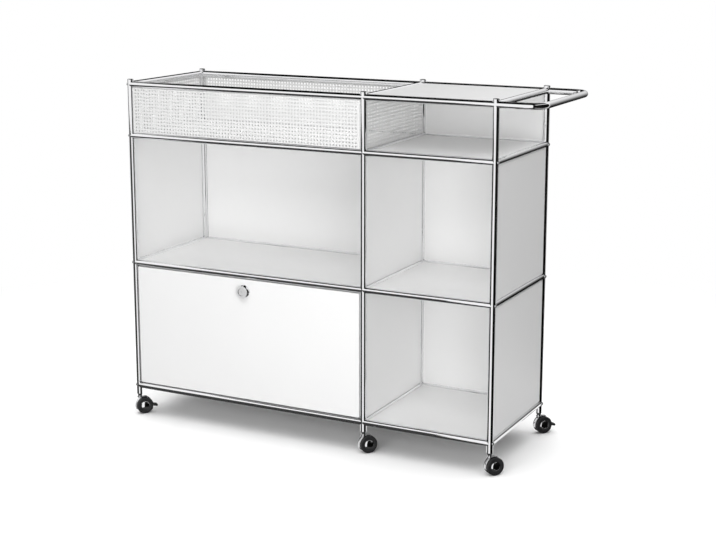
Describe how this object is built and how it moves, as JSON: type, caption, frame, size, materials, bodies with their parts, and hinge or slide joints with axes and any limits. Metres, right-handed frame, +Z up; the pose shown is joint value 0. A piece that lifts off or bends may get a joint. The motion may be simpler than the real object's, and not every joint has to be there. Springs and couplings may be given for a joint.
{
  "type": "bar cart",
  "caption": "Rolling bar cart: a chromed tube frame holds white sheet panels, a perforated open tray, open shelves, a drop-down lockable door and a push handle.",
  "frame": {"origin": "on the floor, below the middle of the cart's box with its handle and casters", "axes": "+X along the cart towards the push handle, +Y from the front with the door to the rear, +Z up"},
  "size_m": [1.288, 0.4484, 1.015],
  "materials": {
    "chrome_tube": "polished chrome plate",
    "chrome_fitting": "polished chrome plate",
    "steel_pin": "bright zinc plate",
    "white_sheet": "white powder coat, fine texture",
    "perforated_sheet": "white powder coat, perforated",
    "black_wheel": "black tread and hub",
    "black_lever": "moulded black"
  },
  "bodies": {
    "frame": {"front_left_post": "chrome_tube", "rear_left_post": "chrome_tube", "front_middle_post": "chrome_tube", "rear_middle_post": "chrome_tube", "front_right_post": "chrome_tube", "rear_right_post": "chrome_tube", "left_front_rails": "chrome_tube", "left_rear_rails": "chrome_tube", "right_front_rails": "chrome_tube", "right_rear_rails": "chrome_tube", "left_cross_rails": "chrome_tube", "middle_cross_rails": "chrome_tube", "right_cross_rails": "chrome_tube", "handle": "chrome_tube", "cap_nuts": "chrome_tube", "caster_stems": "chrome_tube", "left_floors": "white_sheet", "right_floors": "white_sheet", "top_panel": "white_sheet", "top_right_rear_panel": "white_sheet", "left_rear_panels": "white_sheet", "right_rear_panels": "white_sheet", "left_side_panels": "white_sheet", "divider_panels": "white_sheet", "right_side_panels": "white_sheet", "tray_front_panel": "perforated_sheet", "tray_rear_panel": "perforated_sheet", "tray_left_panel": "perforated_sheet", "tray_divider_panel": "perforated_sheet"},
    "door": {"door_panel": "white_sheet", "hinge_pins": "steel_pin", "door_knob": "chrome_fitting"},
    "lock": {"lock_cylinder": "chrome_fitting", "lock_cam": "steel_pin"},
    "front_left_caster": {"front_left_hood": "chrome_fitting"},
    "front_left_wheel_pair": {"front_left_axle": "steel_pin", "front_left_wheels": "black_wheel"},
    "front_left_brake": {"front_left_brake_lever": "black_lever"},
    "rear_left_caster": {"rear_left_hood": "chrome_fitting"},
    "rear_left_wheel_pair": {"rear_left_axle": "steel_pin", "rear_left_wheels": "black_wheel"},
    "front_middle_caster": {"front_middle_hood": "chrome_fitting"},
    "front_middle_wheel_pair": {"front_middle_axle": "steel_pin", "front_middle_wheels": "black_wheel"},
    "rear_middle_caster": {"rear_middle_hood": "chrome_fitting"},
    "rear_middle_wheel_pair": {"rear_middle_axle": "steel_pin", "rear_middle_wheels": "black_wheel"},
    "front_right_caster": {"front_right_hood": "chrome_fitting"},
    "front_right_wheel_pair": {"front_right_axle": "steel_pin", "front_right_wheels": "black_wheel"},
    "rear_right_caster": {"rear_right_hood": "chrome_fitting"},
    "rear_right_wheel_pair": {"rear_right_axle": "steel_pin", "rear_right_wheels": "black_wheel"},
    "rear_right_brake": {"rear_right_brake_lever": "black_lever"}
  },
  "joints": [
    {"name": "door_hinge", "type": "hinge", "parent": "frame", "child": "door", "pos_m": [-0.24702, -0.20774, 0.1035], "axis": [1, 0, 0], "range_deg": [0, 90]},
    {"name": "lock_turn", "type": "hinge", "parent": "door", "child": "lock", "pos_m": [-0.24702, -0.19074, 0.425], "axis": [0, 1, 0], "range_deg": [0, 90]},
    {"name": "front_left_swivel", "type": "hinge", "parent": "frame", "child": "front_left_caster", "pos_m": [-0.62702, -0.20224, 0.053], "axis": [0, 0, 1], "continuous": true},
    {"name": "front_left_roll", "type": "hinge", "parent": "front_left_caster", "child": "front_left_wheel_pair", "pos_m": [-0.61834, -0.1919, 0.025], "axis": [-0.766, 0.6428, 0], "continuous": true},
    {"name": "front_left_brake_tilt", "type": "hinge", "parent": "front_left_caster", "child": "front_left_brake", "pos_m": [-0.60998, -0.18194, 0.025], "axis": [0.766, -0.6428, 0], "range_deg": [0, 12]},
    {"name": "rear_left_swivel", "type": "hinge", "parent": "frame", "child": "rear_left_caster", "pos_m": [-0.62702, 0.17776, 0.053], "axis": [0, 0, 1], "continuous": true},
    {"name": "rear_left_roll", "type": "hinge", "parent": "rear_left_caster", "child": "rear_left_wheel_pair", "pos_m": [-0.61834, 0.1881, 0.025], "axis": [-0.766, 0.6428, 0], "continuous": true},
    {"name": "front_middle_swivel", "type": "hinge", "parent": "frame", "child": "front_middle_caster", "pos_m": [0.13298, -0.20224, 0.053], "axis": [0, 0, 1], "continuous": true},
    {"name": "front_middle_roll", "type": "hinge", "parent": "front_middle_caster", "child": "front_middle_wheel_pair", "pos_m": [0.14166, -0.1919, 0.025], "axis": [-0.766, 0.6428, 0], "continuous": true},
    {"name": "rear_middle_swivel", "type": "hinge", "parent": "frame", "child": "rear_middle_caster", "pos_m": [0.13298, 0.17776, 0.053], "axis": [0, 0, 1], "continuous": true},
    {"name": "rear_middle_roll", "type": "hinge", "parent": "rear_middle_caster", "child": "rear_middle_wheel_pair", "pos_m": [0.14166, 0.1881, 0.025], "axis": [-0.766, 0.6428, 0], "continuous": true},
    {"name": "front_right_swivel", "type": "hinge", "parent": "frame", "child": "front_right_caster", "pos_m": [0.51298, -0.20224, 0.053], "axis": [0, 0, 1], "continuous": true},
    {"name": "front_right_roll", "type": "hinge", "parent": "front_right_caster", "child": "front_right_wheel_pair", "pos_m": [0.52166, -0.1919, 0.025], "axis": [-0.766, 0.6428, 0], "continuous": true},
    {"name": "rear_right_swivel", "type": "hinge", "parent": "frame", "child": "rear_right_caster", "pos_m": [0.51298, 0.17776, 0.053], "axis": [0, 0, 1], "continuous": true},
    {"name": "rear_right_roll", "type": "hinge", "parent": "rear_right_caster", "child": "rear_right_wheel_pair", "pos_m": [0.52166, 0.1881, 0.025], "axis": [-0.766, 0.6428, 0], "continuous": true},
    {"name": "rear_right_brake_tilt", "type": "hinge", "parent": "rear_right_caster", "child": "rear_right_brake", "pos_m": [0.53002, 0.19806, 0.025], "axis": [0.766, -0.6428, 0], "range_deg": [0, 12]}
  ]
}
